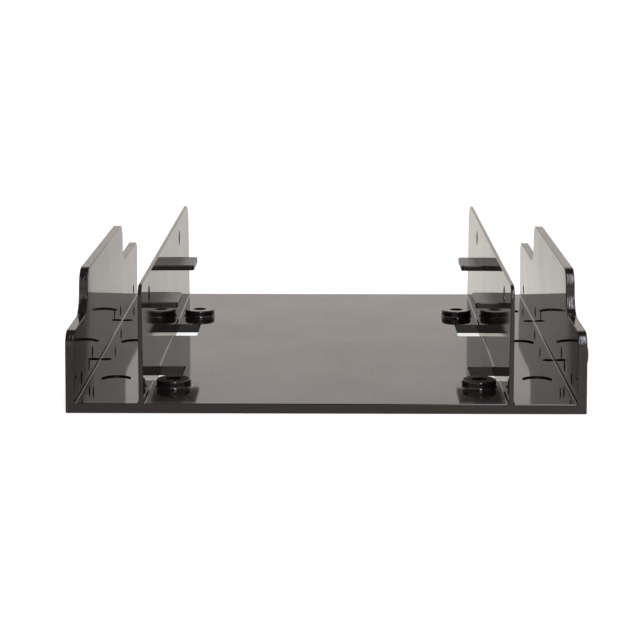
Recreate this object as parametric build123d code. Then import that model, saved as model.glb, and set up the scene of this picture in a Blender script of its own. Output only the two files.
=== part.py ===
from build123d import *
from math import radians, tan
import os

# Drive bay adapter bracket, moulded in one piece of black plastic. It fits a 3.5 inch bay and
# holds two units of the 2.5 inch form factor, one on the floor and one on the four rest tabs.
# X runs across the bay, Y runs back from the open connector end, Z is up. Sizes in millimetres.

# Plan
LENGTH = 122.0
BAY_WIDTH = 71.0
CHANNEL_WIDTH = 12.45

# Wall thicknesses at the floor, and in degrees the inner walls' draft and the outer walls' inward lean
FLOOR = 2.0
INNER_WALL = 1.0
OUTER_WALL = 1.85
INNER_DRAFT = 0.3
OUTER_LEAN = 0.85

# Heights: the room under the rest tabs, then each next level above the one before it
LOWER_BAY_HEIGHT = 15.0
TAB_THICK = 1.15
SIDE_SCREW_RISE = 2.8
WALL_OVER_SIDE_SCREW = 4.25
OUTER_WALL_DROP = 0.3

# Outer wall outline: a low ledge at each end, and a tall middle with S-curved steps
FRONT_LEDGE_HEIGHT = 16.1
BACK_LEDGE_HEIGHT = 15.65
FRONT_LEDGE = 21.3
BACK_LEDGE = 34.2
STEP_TOP_ROUND = 3.8
STEP_FOOT_ROUND = 4.8
END_ROUND = 3.0

# Inner wall outline: straight along the top, and rounder at the back than at the front
INNER_BACK_ROUND = 5.0

# Edge rounds
ROOT_ROUND = 0.3
BASE_ROUND = 0.25
EDGE_ROUND = 0.2

# Rest tabs, placed by the distance of each front end from the bracket's front edge
TAB_LENGTH = 12.5
TAB_REACH = 5.1
TAB_ROUND = 0.25
TAB_CORNER_ROUND = 0.8
FRONT_TAB_START = 21.15
BACK_TAB_START = 67.85
WINDOW_CLEARANCE = 0.6
WINDOW_ROUND = 0.6

# Screw holes of the 2.5 inch form factor, counted back from the front edge
UNIT_FIRST_ROW = 15.4
UNIT_ROW_PITCH = 76.6
UNIT_COLUMN_PITCH = 61.72
UNIT_SCREW_BORE = 3.1
UNIT_SIDE_BORE = 3.5
BOSS_DIAMETER = 7.0
BOSS_HEIGHT = 1.6
BOSS_TOP_ROUND = 0.3
BOSS_FOOT_ROUND = 0.5
SCREW_HEAD_DIAMETER = 6.2

# Pilot holes of the 3.5 inch bay, counted back from the front edge and up from the underside
PILOT_BORE = 2.5
BASE_FIRST_ROW = 41.28
BASE_ROW_PITCH = 44.45
BASE_HOLE_INSET = 3.175
SIDE_FIRST_ROW = 28.5
SIDE_ROW_PITCH = 41.6
SIDE_HOLE_HEIGHT = 6.35
LONG_FIRST_ROW = 10.6
LONG_ROW_PITCH = 101.6
SHORT_FIRST_ROW = 22.6
SHORT_ROW_PITCH = 60.0
LOW_HOLE_HEIGHT = 4.8

# Ejector pin marks in the channel floors
PIN_DIAMETER = 6.2
PIN_DEPTH = 0.3
PIN_INSET = 5.6
PIN_FIRST_ROW = 22.4
PIN_ROW_PITCH = 37.9

# Round nub on the outside of the right wall
NUB_DIAMETER = 3.4
NUB_HEIGHT = 0.45
NUB_ROUND = 0.3
NUB_FROM_FRONT = 3.6
NUB_RISE = 11.1

# Levels and faces that follow from the sizes above
FRONT = -LENGTH / 2
BACK = LENGTH / 2
HALF_BAY = BAY_WIDTH / 2
INNER_OUTSIDE = HALF_BAY + INNER_WALL
OUTER_INSIDE = INNER_OUTSIDE + CHANNEL_WIDTH
HALF_WIDTH = OUTER_INSIDE + OUTER_WALL
SEAT = FLOOR + LOWER_BAY_HEIGHT + TAB_THICK
SIDE_SCREW_HEIGHT = SEAT + SIDE_SCREW_RISE
INNER_TOP = SIDE_SCREW_HEIGHT + WALL_OVER_SIDE_SCREW
OUTER_TOP = INNER_TOP - OUTER_WALL_DROP
INNER_SLOPE = tan(radians(INNER_DRAFT))
OUTER_SLOPE = tan(radians(OUTER_LEAN))
INNER_LEAN = (INNER_TOP - FLOOR) * INNER_SLOPE
INNER_TOP_WALL = INNER_WALL - 2 * INNER_LEAN


def on_both_sides(right):
    """A feature of the right side together with its mirror image on the left."""
    return right + mirror(right, Plane.YZ)


def rows(first, pitch, room):
    """Y of a pair of rows, less any that lacks its room before the back edge."""
    return [FRONT + back for back in (first, first + pitch) if back + room <= LENGTH]


def corners(face, *points):
    """The corners of a flat outline that lie at the given points."""
    return [v for v in face.vertices() if any((Vector(v) - Vector(p)).length < 0.001 for p in points)]


def cross_section():
    """Floor, inner walls and outer walls as one outline across the bracket, with their draft and lean."""
    base = (HALF_WIDTH, 0)
    outer_root = (OUTER_INSIDE, FLOOR)
    channel_root = (INNER_OUTSIDE, FLOOR)
    bay_root = (HALF_BAY, FLOOR)
    half = make_face(
        Polyline(
            (0, 0),
            base,
            (HALF_WIDTH - OUTER_TOP * OUTER_SLOPE, OUTER_TOP),
            (OUTER_INSIDE - (OUTER_TOP - FLOOR) * OUTER_SLOPE, OUTER_TOP),
            outer_root,
            channel_root,
            (INNER_OUTSIDE - INNER_LEAN, INNER_TOP),
            (HALF_BAY + INNER_LEAN, INNER_TOP),
            bay_root,
            (0, FLOOR),
            close=True,
        )
    )
    half = fillet(corners(half, outer_root, channel_root, bay_root), ROOT_ROUND)
    half = fillet(corners(half, base), BASE_ROUND)
    return on_both_sides(half)


def outer_outline():
    """Side view of an outer wall: low ledges, S-curved steps and the tall middle."""
    tall_front = FRONT + FRONT_LEDGE
    tall_back = BACK - BACK_LEDGE
    ends = [(FRONT, FRONT_LEDGE_HEIGHT), (BACK, BACK_LEDGE_HEIGHT)]
    feet = [(tall_front, FRONT_LEDGE_HEIGHT), (tall_back, BACK_LEDGE_HEIGHT)]
    tops = [(tall_front, OUTER_TOP), (tall_back, OUTER_TOP)]
    outline = make_face(
        Polyline((FRONT, 0), ends[0], feet[0], *tops, feet[1], ends[1], (BACK, 0), close=True)
    )
    step = OUTER_TOP - max(FRONT_LEDGE_HEIGHT, BACK_LEDGE_HEIGHT)
    share = min(1, 0.98 * step / (STEP_TOP_ROUND + STEP_FOOT_ROUND))
    outline = fillet(corners(outline, *feet), share * STEP_FOOT_ROUND)
    outline = fillet(corners(outline, *tops), share * STEP_TOP_ROUND)
    return fillet(corners(outline, *ends), END_ROUND)


def inner_outline():
    """Side view of an inner wall: straight along the top, with rounded ends."""
    front, back = (FRONT, INNER_TOP), (BACK, INNER_TOP)
    outline = make_face(Polyline((FRONT, 0), front, back, (BACK, 0), close=True))
    outline = fillet(corners(outline, front), END_ROUND)
    return fillet(corners(outline, back), INNER_BACK_ROUND)


def trimming(outline, inside, outside):
    """What lies above an outline on the right, between two distances from the middle plane."""
    over = INNER_TOP + END_ROUND
    around = make_face(
        Polyline((FRONT, FLOOR), (FRONT, over), (BACK, over), (BACK, FLOOR), close=True)
    )
    return Pos(inside, 0, 0) * extrude(Plane.YZ * (around - outline), outside - inside)


def sharp_edges(body):
    """The edges where two faces meet at an angle, not those where one runs smoothly into the next."""
    meeting = {}
    for face in body.faces():
        for edge in face.edges():
            meeting.setdefault(edge, []).append(face)
    return [
        edge
        for edge, (one, other) in meeting.items()
        if abs(one.normal_at(edge @ 0.5).dot(other.normal_at(edge @ 0.5))) < 0.8
    ]


def tray():
    """The section cut to the side views, with the rims of the floor and of every wall rounded."""
    split = (INNER_OUTSIDE + OUTER_INSIDE) / 2
    body = extrude(Plane.XZ * cross_section(), LENGTH / 2, both=True)
    body -= on_both_sides(trimming(outer_outline(), split, HALF_WIDTH))
    body -= on_both_sides(trimming(inner_outline(), 0, split))
    return fillet(sharp_edges(body), min(EDGE_ROUND, 0.4 * INNER_TOP_WALL))


def rest_tabs():
    """The ledges on the inner walls that the upper unit rests on."""
    depth = TAB_REACH + INNER_WALL / 2
    tab = Box(depth, TAB_LENGTH, TAB_THICK, align=(Align.MIN, Align.MIN, Align.MAX))
    free_corners = tab.edges().filter_by(Axis.Z).group_by(Axis.X)[0]
    tab = fillet(free_corners, TAB_CORNER_ROUND)
    tab = fillet(tab.faces().sort_by(Axis.Z)[-1].edges().sort_by(Axis.X)[:-1], TAB_ROUND)
    starts = rows(FRONT_TAB_START, BACK_TAB_START - FRONT_TAB_START, TAB_LENGTH + END_ROUND)
    return on_both_sides(Part() + [Pos(HALF_BAY - TAB_REACH, y, SEAT) * tab for y in starts])


def tab_windows():
    """Openings in the floor that let the mould's core form the underside of each tab."""
    over = FLOOR + ROOT_ROUND
    opening = make_face(
        Polyline(
            (HALF_BAY - TAB_REACH - WINDOW_CLEARANCE, 0),
            (HALF_BAY, 0),
            (HALF_BAY, FLOOR),
            (HALF_BAY + ROOT_ROUND * INNER_SLOPE, over),
            (HALF_BAY - TAB_REACH - WINDOW_CLEARANCE, over),
            close=True,
        )
    )
    window = extrude(Plane.XZ * opening, TAB_LENGTH / 2 + WINDOW_CLEARANCE, both=True)
    window = fillet(window.edges().filter_by(Axis.Z).group_by(Axis.X)[0], WINDOW_ROUND)
    starts = rows(FRONT_TAB_START, BACK_TAB_START - FRONT_TAB_START, TAB_LENGTH + END_ROUND)
    return on_both_sides(Part() + [Pos(0, y + TAB_LENGTH / 2, 0) * window for y in starts])


def at_unit_holes(feature):
    """Copies of a feature at the base screw holes of the 2.5 inch form factor."""
    columns = (-UNIT_COLUMN_PITCH / 2, UNIT_COLUMN_PITCH / 2)
    places = rows(UNIT_FIRST_ROW, UNIT_ROW_PITCH, BOSS_DIAMETER)
    return Part() + [Pos(x, y, 0) * feature for x in columns for y in places]


def base_bosses():
    """Low round bosses, blended into the floor, that hold the lower unit clear of it."""
    radius = BOSS_DIAMETER / 2
    rim, foot = (radius, FLOOR + BOSS_HEIGHT), (radius, FLOOR)
    wide = radius + 2 * BOSS_FOOT_ROUND
    outline = make_face(
        Polyline((0, 0), (wide, 0), (wide, FLOOR), foot, rim, (0, FLOOR + BOSS_HEIGHT), close=True)
    )
    outline = fillet(corners(outline, rim), BOSS_TOP_ROUND)
    outline = fillet(corners(outline, foot), BOSS_FOOT_ROUND)
    return at_unit_holes(revolve(Plane.XZ * outline, Axis.Z))


def base_screw_holes():
    """Bores through the bosses, countersunk from the underside for flat screw heads."""
    bore_radius = UNIT_SCREW_BORE / 2
    head_radius = SCREW_HEAD_DIAMETER / 2
    low = (Align.CENTER, Align.CENTER, Align.MIN)
    bore = Cylinder(bore_radius, FLOOR + BOSS_HEIGHT, align=low)
    sink = Cone(head_radius, bore_radius, head_radius - bore_radius, align=low)
    return at_unit_holes(bore + sink)


def cross_hole(diameter, inside, outside, y, height):
    """A round hole along X on the right, between two distances from the middle plane."""
    hole = Cylinder(diameter / 2, outside - inside, align=(Align.CENTER, Align.CENTER, Align.MIN))
    return Pos(inside, y, height) * (Rot(0, 90, 0) * hole)


def side_screw_holes():
    """Clearance holes in the inner walls for the upper unit's side screws."""
    places = rows(UNIT_FIRST_ROW, UNIT_ROW_PITCH, END_ROUND)
    middle = (INNER_OUTSIDE + OUTER_INSIDE) / 2
    holes = [cross_hole(UNIT_SIDE_BORE, TAB_REACH, middle, y, SIDE_SCREW_HEIGHT) for y in places]
    return on_both_sides(Part() + holes)


def outer_wall_holes():
    """Pilot holes in the outer walls, one pair for each kind of bay."""
    middle = (INNER_OUTSIDE + OUTER_INSIDE) / 2
    holes = Part()
    for first, pitch, height in (
        (SIDE_FIRST_ROW, SIDE_ROW_PITCH, SIDE_HOLE_HEIGHT),
        (LONG_FIRST_ROW, LONG_ROW_PITCH, LOW_HOLE_HEIGHT),
        (SHORT_FIRST_ROW, SHORT_ROW_PITCH, LOW_HOLE_HEIGHT),
    ):
        for y in rows(first, pitch, PILOT_BORE):
            holes += cross_hole(PILOT_BORE, middle, HALF_WIDTH, y, height)
    return on_both_sides(holes)


def floor_pilot_holes():
    """Pilot holes in the floor beside the outer walls."""
    hole = Cylinder(PILOT_BORE / 2, FLOOR + ROOT_ROUND, align=(Align.CENTER, Align.CENTER, Align.MIN))
    column = HALF_WIDTH - BASE_HOLE_INSET
    places = rows(BASE_FIRST_ROW, BASE_ROW_PITCH, PILOT_BORE)
    return on_both_sides(Part() + [Pos(column, y, 0) * hole for y in places])


def pin_marks():
    """Shallow round marks of the ejector pins along the channel floors."""
    mark = Cylinder(PIN_DIAMETER / 2, PIN_DEPTH, align=(Align.CENTER, Align.CENTER, Align.MAX))
    column = OUTER_INSIDE - PIN_INSET
    places = [FRONT + PIN_FIRST_ROW + i * PIN_ROW_PITCH for i in range(3)]
    return on_both_sides(Part() + [Pos(column, y, FLOOR) * mark for y in places])


def wall_nub():
    """The round nub near the front of the right wall."""
    face = HALF_WIDTH - NUB_RISE * OUTER_SLOPE
    root = HALF_WIDTH - OUTER_WALL / 2
    nub = cross_hole(NUB_DIAMETER, root, face + NUB_HEIGHT, FRONT + NUB_FROM_FRONT, NUB_RISE)
    return fillet(nub.faces().sort_by(Axis.X)[-1].edges(), NUB_ROUND)


def bracket():
    """The whole moulding."""
    body = tray() + rest_tabs() + base_bosses() + wall_nub()
    body -= tab_windows()
    body -= base_screw_holes()
    body -= side_screw_holes()
    body -= outer_wall_holes()
    body -= floor_pilot_holes()
    body -= pin_marks()
    return body


os.makedirs("parts", exist_ok=True)
export_step(bracket(), "parts/bracket.step")
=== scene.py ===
import math
import bpy
import numpy as np
from mathutils import Matrix, Vector

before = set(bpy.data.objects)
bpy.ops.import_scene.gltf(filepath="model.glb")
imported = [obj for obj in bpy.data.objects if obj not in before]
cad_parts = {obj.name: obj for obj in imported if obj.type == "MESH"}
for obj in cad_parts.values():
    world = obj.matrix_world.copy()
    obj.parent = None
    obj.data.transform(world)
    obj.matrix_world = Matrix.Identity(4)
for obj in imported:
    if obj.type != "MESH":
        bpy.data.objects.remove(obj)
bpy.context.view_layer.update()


# The bracket: one injection moulding in black ABS. The drafted walls, rest tabs and bosses are all part of
# it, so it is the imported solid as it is. The steel of its mould was finished in four ways, and each of them
# left its own gloss on the plastic.

MM = 0.001
# A Mix node has its colour sockets behind those for numbers and vectors, which have the same names.
MIX_FIRST, MIX_SECOND, MIX_RESULT = 6, 7, 2


def srgb(colour):
    """A hex colour, as written for a screen, as linear red, green, blue and alpha."""
    parts = [int(colour[i:i + 2], 16) / 255 for i in (1, 3, 5)]
    linear = [c / 12.92 if c <= 0.04045 else ((c + 0.055) / 1.055) ** 2.4 for c in parts]
    return (*linear, 1.0)


def add_node(tree, kind, inputs=(), **settings):
    """A new node with its settings; each input is a value, or the output socket that feeds it."""
    node = tree.nodes.new(kind)
    for name, value in settings.items():
        setattr(node, name, value)
    for name, value in dict(inputs).items():
        if isinstance(value, bpy.types.NodeSocket):
            tree.links.new(value, node.inputs[name])
        else:
            node.inputs[name].default_value = value
    return node


def black_abs(finish, mirror, blur, grain, scuff, depth=0.0):
    """Black ABS: nearly black itself, so the eye sees what it reflects.

    The mould leaves long shallow waves, and handling leaves a thin uneven film that is paler and duller.
    Mirror is how much of the gloss a clean place has, and blur is how far the gloss spreads a reflection.
    The grain is the size of the steel's fine marks across, along and up, scuff is the gloss that they
    take away, and depth is how deep they are.
    """
    clean_colour, filmed_colour = "#161010", "#1c1615"
    refraction = 1.53
    wave_length, wave_depth = 6.0 * MM, 0.003 * MM
    film_size = 22.0 * MM
    film_starts, film_full = 0.38, 0.72
    film_mirror, film_blur = 0.9 * mirror, 1.6 * blur
    mark_starts, mark_full = 0.55, 0.75
    material = bpy.data.materials.new(finish)
    material.use_nodes = True
    tree = material.node_tree
    tree.nodes.clear()
    place = add_node(tree, "ShaderNodeTexCoord").outputs["Object"]

    waves = add_node(tree, "ShaderNodeTexNoise", {
        "Vector": place, "Scale": 1 / wave_length, "Detail": 1.0, "Roughness": 0.4})
    smears = add_node(tree, "ShaderNodeTexNoise", {
        "Vector": place, "Scale": 1 / film_size, "Detail": 4.0, "Roughness": 0.6})
    film = add_node(tree, "ShaderNodeMapRange", {
        "Value": smears.outputs["Fac"], "From Min": film_starts, "From Max": film_full})
    stretched = add_node(tree, "ShaderNodeMapping", {
        "Vector": place, "Scale": [1 / size for size in grain]})
    marks = add_node(tree, "ShaderNodeTexNoise", {
        "Vector": stretched.outputs["Vector"], "Scale": 1.0, "Detail": 2.0, "Roughness": 0.6})
    dulled = add_node(tree, "ShaderNodeMapRange", {
        "Value": marks.outputs["Fac"], "From Min": mark_starts, "From Max": mark_full,
        "To Min": 0.0, "To Max": scuff})

    colour = add_node(tree, "ShaderNodeMix", {
        "Factor": film.outputs["Result"], MIX_FIRST: srgb(clean_colour), MIX_SECOND: srgb(filmed_colour)},
        data_type="RGBA")
    rough = add_node(tree, "ShaderNodeMapRange", {
        "Value": film.outputs["Result"], "To Min": blur, "To Max": film_blur})
    clear = add_node(tree, "ShaderNodeMapRange", {
        "Value": film.outputs["Result"], "To Min": mirror, "To Max": film_mirror})
    gloss = add_node(tree, "ShaderNodeMath", {
        0: clear.outputs["Result"], 1: dulled.outputs["Result"]}, operation="SUBTRACT")
    swell = add_node(tree, "ShaderNodeMath", {
        0: waves.outputs["Fac"], 1: wave_depth}, operation="MULTIPLY")
    relief = add_node(tree, "ShaderNodeMath", {
        0: marks.outputs["Fac"], 1: depth, 2: swell.outputs["Value"]}, operation="MULTIPLY_ADD")
    bump = add_node(tree, "ShaderNodeBump", {
        "Height": relief.outputs["Value"], "Distance": 1.0, "Strength": 1.0})

    # The gloss is all in the coat, because the weight of a coat can follow the film and the marks.
    plastic = add_node(tree, "ShaderNodeBsdfPrincipled", {
        "Base Color": colour.outputs[MIX_RESULT], "Roughness": rough.outputs["Result"],
        "IOR": refraction, "Specular IOR Level": 0.0, "Normal": bump.outputs["Normal"],
        "Coat Weight": gloss.outputs["Value"], "Coat Roughness": blur, "Coat IOR": refraction,
        "Coat Normal": bump.outputs["Normal"]})
    add_node(tree, "ShaderNodeOutputMaterial", {"Surface": plastic.outputs["BSDF"]})
    return material


# Most of the mould is polished, so most faces mirror the room. The tabs come from a satin part of it and
# only show a blurred sheen. The ends of the walls come from wire-cut steel, whose lines streak their
# highlights, and the tops from spark-eroded steel, whose pits mottle their gloss. The real lines and pits
# are too fine to show, so they are drawn coarser.
HAIRLINES = (0.4 * MM, 20.0 * MM, 0.4 * MM)
CUT_LINES = (0.5 * MM, 6.0 * MM, 6.0 * MM)
PITS = (0.4 * MM, 2.0 * MM, 0.4 * MM)
POLISHED, SATIN, WIRE_CUT, SPARK_ERODED = range(4)
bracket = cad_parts["bracket"]
bracket.data.materials.clear()
for finish in (
    black_abs("polished_black_abs", mirror=0.71, blur=0.06, grain=HAIRLINES, scuff=0.04),
    black_abs("satin_black_abs", mirror=0.62, blur=0.26, grain=HAIRLINES, scuff=0.04),
    black_abs("wire_cut_black_abs", mirror=0.76, blur=0.08, grain=CUT_LINES, scuff=0.28, depth=0.08 * MM),
    black_abs("spark_eroded_black_abs", mirror=0.71, blur=0.10, grain=PITS, scuff=0.22, depth=0.003 * MM),
):
    bracket.data.materials.append(finish)

# A face gets its finish by where it is and which way it faces. The tabs are the faces between the inner
# walls and above the tabs' underside, an end faces forwards or back above the floor, and a top faces up.
WALL_FACE = 35.4 * MM
TAB_UNDERSIDE = 17.0 * MM
FLOOR_TOP = 2.0 * MM
LOWEST_TOP = 14.0 * MM
END_SLOPE = 0.2
TOP_SLOPE = 0.95
faces = bracket.data.polygons
middles = np.empty(3 * len(faces))
normals = np.empty(3 * len(faces))
faces.foreach_get("center", middles)
faces.foreach_get("normal", normals)
height = middles[2::3]
between_walls = np.abs(middles[0::3]) < WALL_FACE
on_tabs = between_walls & (height > TAB_UNDERSIDE)
on_ends = ~between_walls & (height > FLOOR_TOP) & (np.abs(normals[1::3]) > END_SLOPE)
on_tops = ~between_walls & (height > LOWEST_TOP) & (normals[2::3] > TOP_SLOPE)
finishes = np.select([on_tabs, on_ends, on_tops], [SATIN, WIRE_CUT, SPARK_ERODED], POLISHED)
faces.foreach_set("material_index", finishes.astype(np.int32))


# The floor that the bracket stands on: a wide sheet of matt card, which isn't part of the object. To the eye
# it is evenly white and keeps the bracket's shadow. In the gloss it shows painted light that rises from left
# to right, and a painted shadow of the bracket behind it, past whose sides it is lighter towards the back.

def white_card():
    """Matt card that is pale grey by itself and white by a glow added to it.

    The glow shows to the eye and in reflections, and lights nothing. In reflections it is painted light
    that rises evenly from left to right, with a painted shadow of the bracket behind it: from the bracket's
    width outwards it also rises from front to back.
    """
    card_colour = "#a4a4a4"
    seen_glow, mirrored_glow = "#e1e1e1", "#dcd8cd"
    # Painted light: in reflections the card's glow rises from left to right, as if lit from the right.
    painted_light_reach = 80.0 * MM
    painted_light_left, painted_light_right = 0.66, 1.40
    # Painted shade: behind the bracket's width the glow stays lower, as the bracket's shadow on the card;
    # past its sides it rises towards the back.
    painted_shade_inside, painted_shade_outside = 32.0 * MM, 46.0 * MM
    painted_shade_front, painted_shade_back = -61.0 * MM, 61.0 * MM
    painted_light_past_shade = 0.22
    material = bpy.data.materials.new("white_card")
    material.use_nodes = True
    tree = material.node_tree
    tree.nodes.clear()
    rays = add_node(tree, "ShaderNodeLightPath").outputs
    mirrored = add_node(tree, "ShaderNodeMath", {
        0: rays["Is Glossy Ray"], 1: rays["Is Transmission Ray"]}, operation="MAXIMUM")

    place = add_node(tree, "ShaderNodeTexCoord").outputs["Object"]
    spot = add_node(tree, "ShaderNodeSeparateXYZ", {"Vector": place}).outputs
    painted_light_slope = add_node(tree, "ShaderNodeMapRange", {
        "Value": spot["X"], "From Min": -painted_light_reach, "From Max": painted_light_reach,
        "To Min": painted_light_left, "To Max": painted_light_right})
    aside = add_node(tree, "ShaderNodeMath", {0: spot["X"]}, operation="ABSOLUTE")
    clear_of_painted_shade = add_node(tree, "ShaderNodeMapRange", {
        "Value": aside.outputs["Value"], "From Min": painted_shade_inside, "From Max": painted_shade_outside},
        interpolation_type="SMOOTHSTEP")
    painted_light_behind = add_node(tree, "ShaderNodeMapRange", {
        "Value": spot["Y"], "From Min": painted_shade_front, "From Max": painted_shade_back,
        "To Min": 0.0, "To Max": painted_light_past_shade})
    # The painted light seen in the gloss is the left-to-right rise plus the rise past the bracket's painted
    # shade.
    painted_light = add_node(tree, "ShaderNodeMath", {
        0: clear_of_painted_shade.outputs["Result"], 1: painted_light_behind.outputs["Result"], 2: painted_light_slope.outputs["Result"]},
        operation="MULTIPLY_ADD")

    strength = add_node(tree, "ShaderNodeMath", {
        0: mirrored.outputs["Value"], 1: painted_light.outputs["Value"], 2: rays["Is Camera Ray"]},
        operation="MULTIPLY_ADD")
    colour = add_node(tree, "ShaderNodeMix", {
        "Factor": rays["Is Camera Ray"], MIX_FIRST: srgb(mirrored_glow), MIX_SECOND: srgb(seen_glow)},
        data_type="RGBA")
    card = add_node(tree, "ShaderNodeBsdfDiffuse", {"Color": srgb(card_colour)})
    glow = add_node(tree, "ShaderNodeEmission", {
        "Color": colour.outputs[MIX_RESULT], "Strength": strength.outputs["Value"]})
    both = add_node(tree, "ShaderNodeAddShader", {0: card.outputs["BSDF"], 1: glow.outputs["Emission"]})
    add_node(tree, "ShaderNodeOutputMaterial", {"Surface": both.outputs["Shader"]})
    return material


FLOOR_REACH = 12.0
FLOOR_DROP = 0.05 * MM
corners = FLOOR_REACH * np.array([(-1, -1, 0), (1, -1, 0), (1, 1, 0), (-1, 1, 0)])
corners[:, 2] = -FLOOR_DROP
sheet = bpy.data.meshes.new("floor")
sheet.from_pydata(corners.tolist(), [], [(0, 1, 2, 3)])
sheet.materials.append(white_card())
floor = bpy.data.objects.new("floor", sheet)
bpy.context.scene.collection.objects.link(floor)


# The room round the bracket: warm white walls on every side under a darker ceiling, as in a light tent
# that is open at the top, with one tall softbox in front on the right. The gloss shows the walls, and
# the rounded corners show the ceiling and the softbox.

WALL_COLOUR = "#fff7f1"
WALL_LIGHT = 1.2
WALL_TOP = math.sin(math.radians(24))
CEILING = math.sin(math.radians(50))
CEILING_LIGHT = 0.10
SOFTBOX_COLOUR = "#f5f4ff"
SOFTBOX_LIGHT = 18.0
# Each edge of the softbox, as the part of a direction to the right (X), back (Y) or up (Z): first where
# its light starts, then where it is full.
SOFTBOX_EDGES = (("X", 0.02, 0.10), ("X", 0.25, 0.16), ("Z", 0.20, 0.85), ("Y", 0.10, -0.45))
room = bpy.data.worlds.new("room")
bpy.context.scene.world = room
room.use_nodes = True
tree = room.node_tree
tree.nodes.clear()
way = add_node(tree, "ShaderNodeTexCoord").outputs["Generated"]
direction = add_node(tree, "ShaderNodeSeparateXYZ", {"Vector": way}).outputs
tone = add_node(tree, "ShaderNodeMapRange", {
    "Value": direction["Z"], "From Min": WALL_TOP, "From Max": CEILING,
    "To Min": WALL_LIGHT, "To Max": CEILING_LIGHT}, interpolation_type="SMOOTHSTEP")
walls = add_node(tree, "ShaderNodeBackground", {
    "Color": srgb(WALL_COLOUR), "Strength": tone.outputs["Result"]})
box_light = SOFTBOX_LIGHT
for axis, starts, full in SOFTBOX_EDGES:
    edge = add_node(tree, "ShaderNodeMapRange", {
        "Value": direction[axis], "From Min": starts, "From Max": full}, interpolation_type="SMOOTHSTEP")
    box_light = add_node(tree, "ShaderNodeMath", {
        0: box_light, 1: edge.outputs["Result"]}, operation="MULTIPLY").outputs["Value"]
softbox = add_node(tree, "ShaderNodeBackground", {"Color": srgb(SOFTBOX_COLOUR), "Strength": box_light})
whole = add_node(tree, "ShaderNodeAddShader", {
    0: walls.outputs["Background"], 1: softbox.outputs["Background"]})
add_node(tree, "ShaderNodeOutputWorld", {"Surface": whole.outputs["Shader"]})


# The lamps: two broad soft lights, one high on each side of the bracket, as a product table has them.
# They add a little light from above to that of the walls.

SIDE_LIGHT = 0.20
SIDE_SPREAD = math.radians(50)
SIDE_HEIGHT = math.radians(55)
SIDE_DISTANCE = 2.0
for name, side in (("right_light", 1), ("left_light", -1)):
    lamp = bpy.data.lights.new(name, "SUN")
    lamp.energy = SIDE_LIGHT
    lamp.angle = SIDE_SPREAD
    outwards = Vector((side * math.cos(SIDE_HEIGHT), 0.0, math.sin(SIDE_HEIGHT)))
    holder = bpy.data.objects.new(name, lamp)
    holder.matrix_world = Matrix.LocRotScale(
        SIDE_DISTANCE * outwards, outwards.to_track_quat("Z", "Y"), None)
    bpy.context.scene.collection.objects.link(holder)


# The camera: in front of the open end and a little above it, looking down into the bay. Its place, its
# angles in degrees and its lens were fitted to the bracket's own edges in the photo.

CAMERA_PLACE = (0.00184, -0.43070, 0.08969)
CAMERA_TURN = 0.4658
CAMERA_TILT = -10.880
CAMERA_ROLL = 0.0333
PIXELS_PER_RADIAN = 1950.6
PHOTO_WIDTH = 640
SENSOR_WIDTH = 36.0
NEAREST, FURTHEST = 0.01, 100.0
eye = bpy.data.cameras.new("camera")
eye.sensor_width = SENSOR_WIDTH
eye.lens = PIXELS_PER_RADIAN / PHOTO_WIDTH * SENSOR_WIDTH
eye.clip_start, eye.clip_end = NEAREST, FURTHEST
camera = bpy.data.objects.new("camera", eye)
bpy.context.scene.collection.objects.link(camera)
camera.matrix_world = (
    Matrix.Translation(CAMERA_PLACE)
    @ Matrix.Rotation(math.radians(CAMERA_TURN), 4, "Z")
    @ Matrix.Rotation(math.radians(90 + CAMERA_TILT), 4, "X")
    @ Matrix.Rotation(math.radians(CAMERA_ROLL), 4, "Z"))
bpy.context.scene.camera = camera
bpy.context.scene.view_settings.view_transform = "Standard"
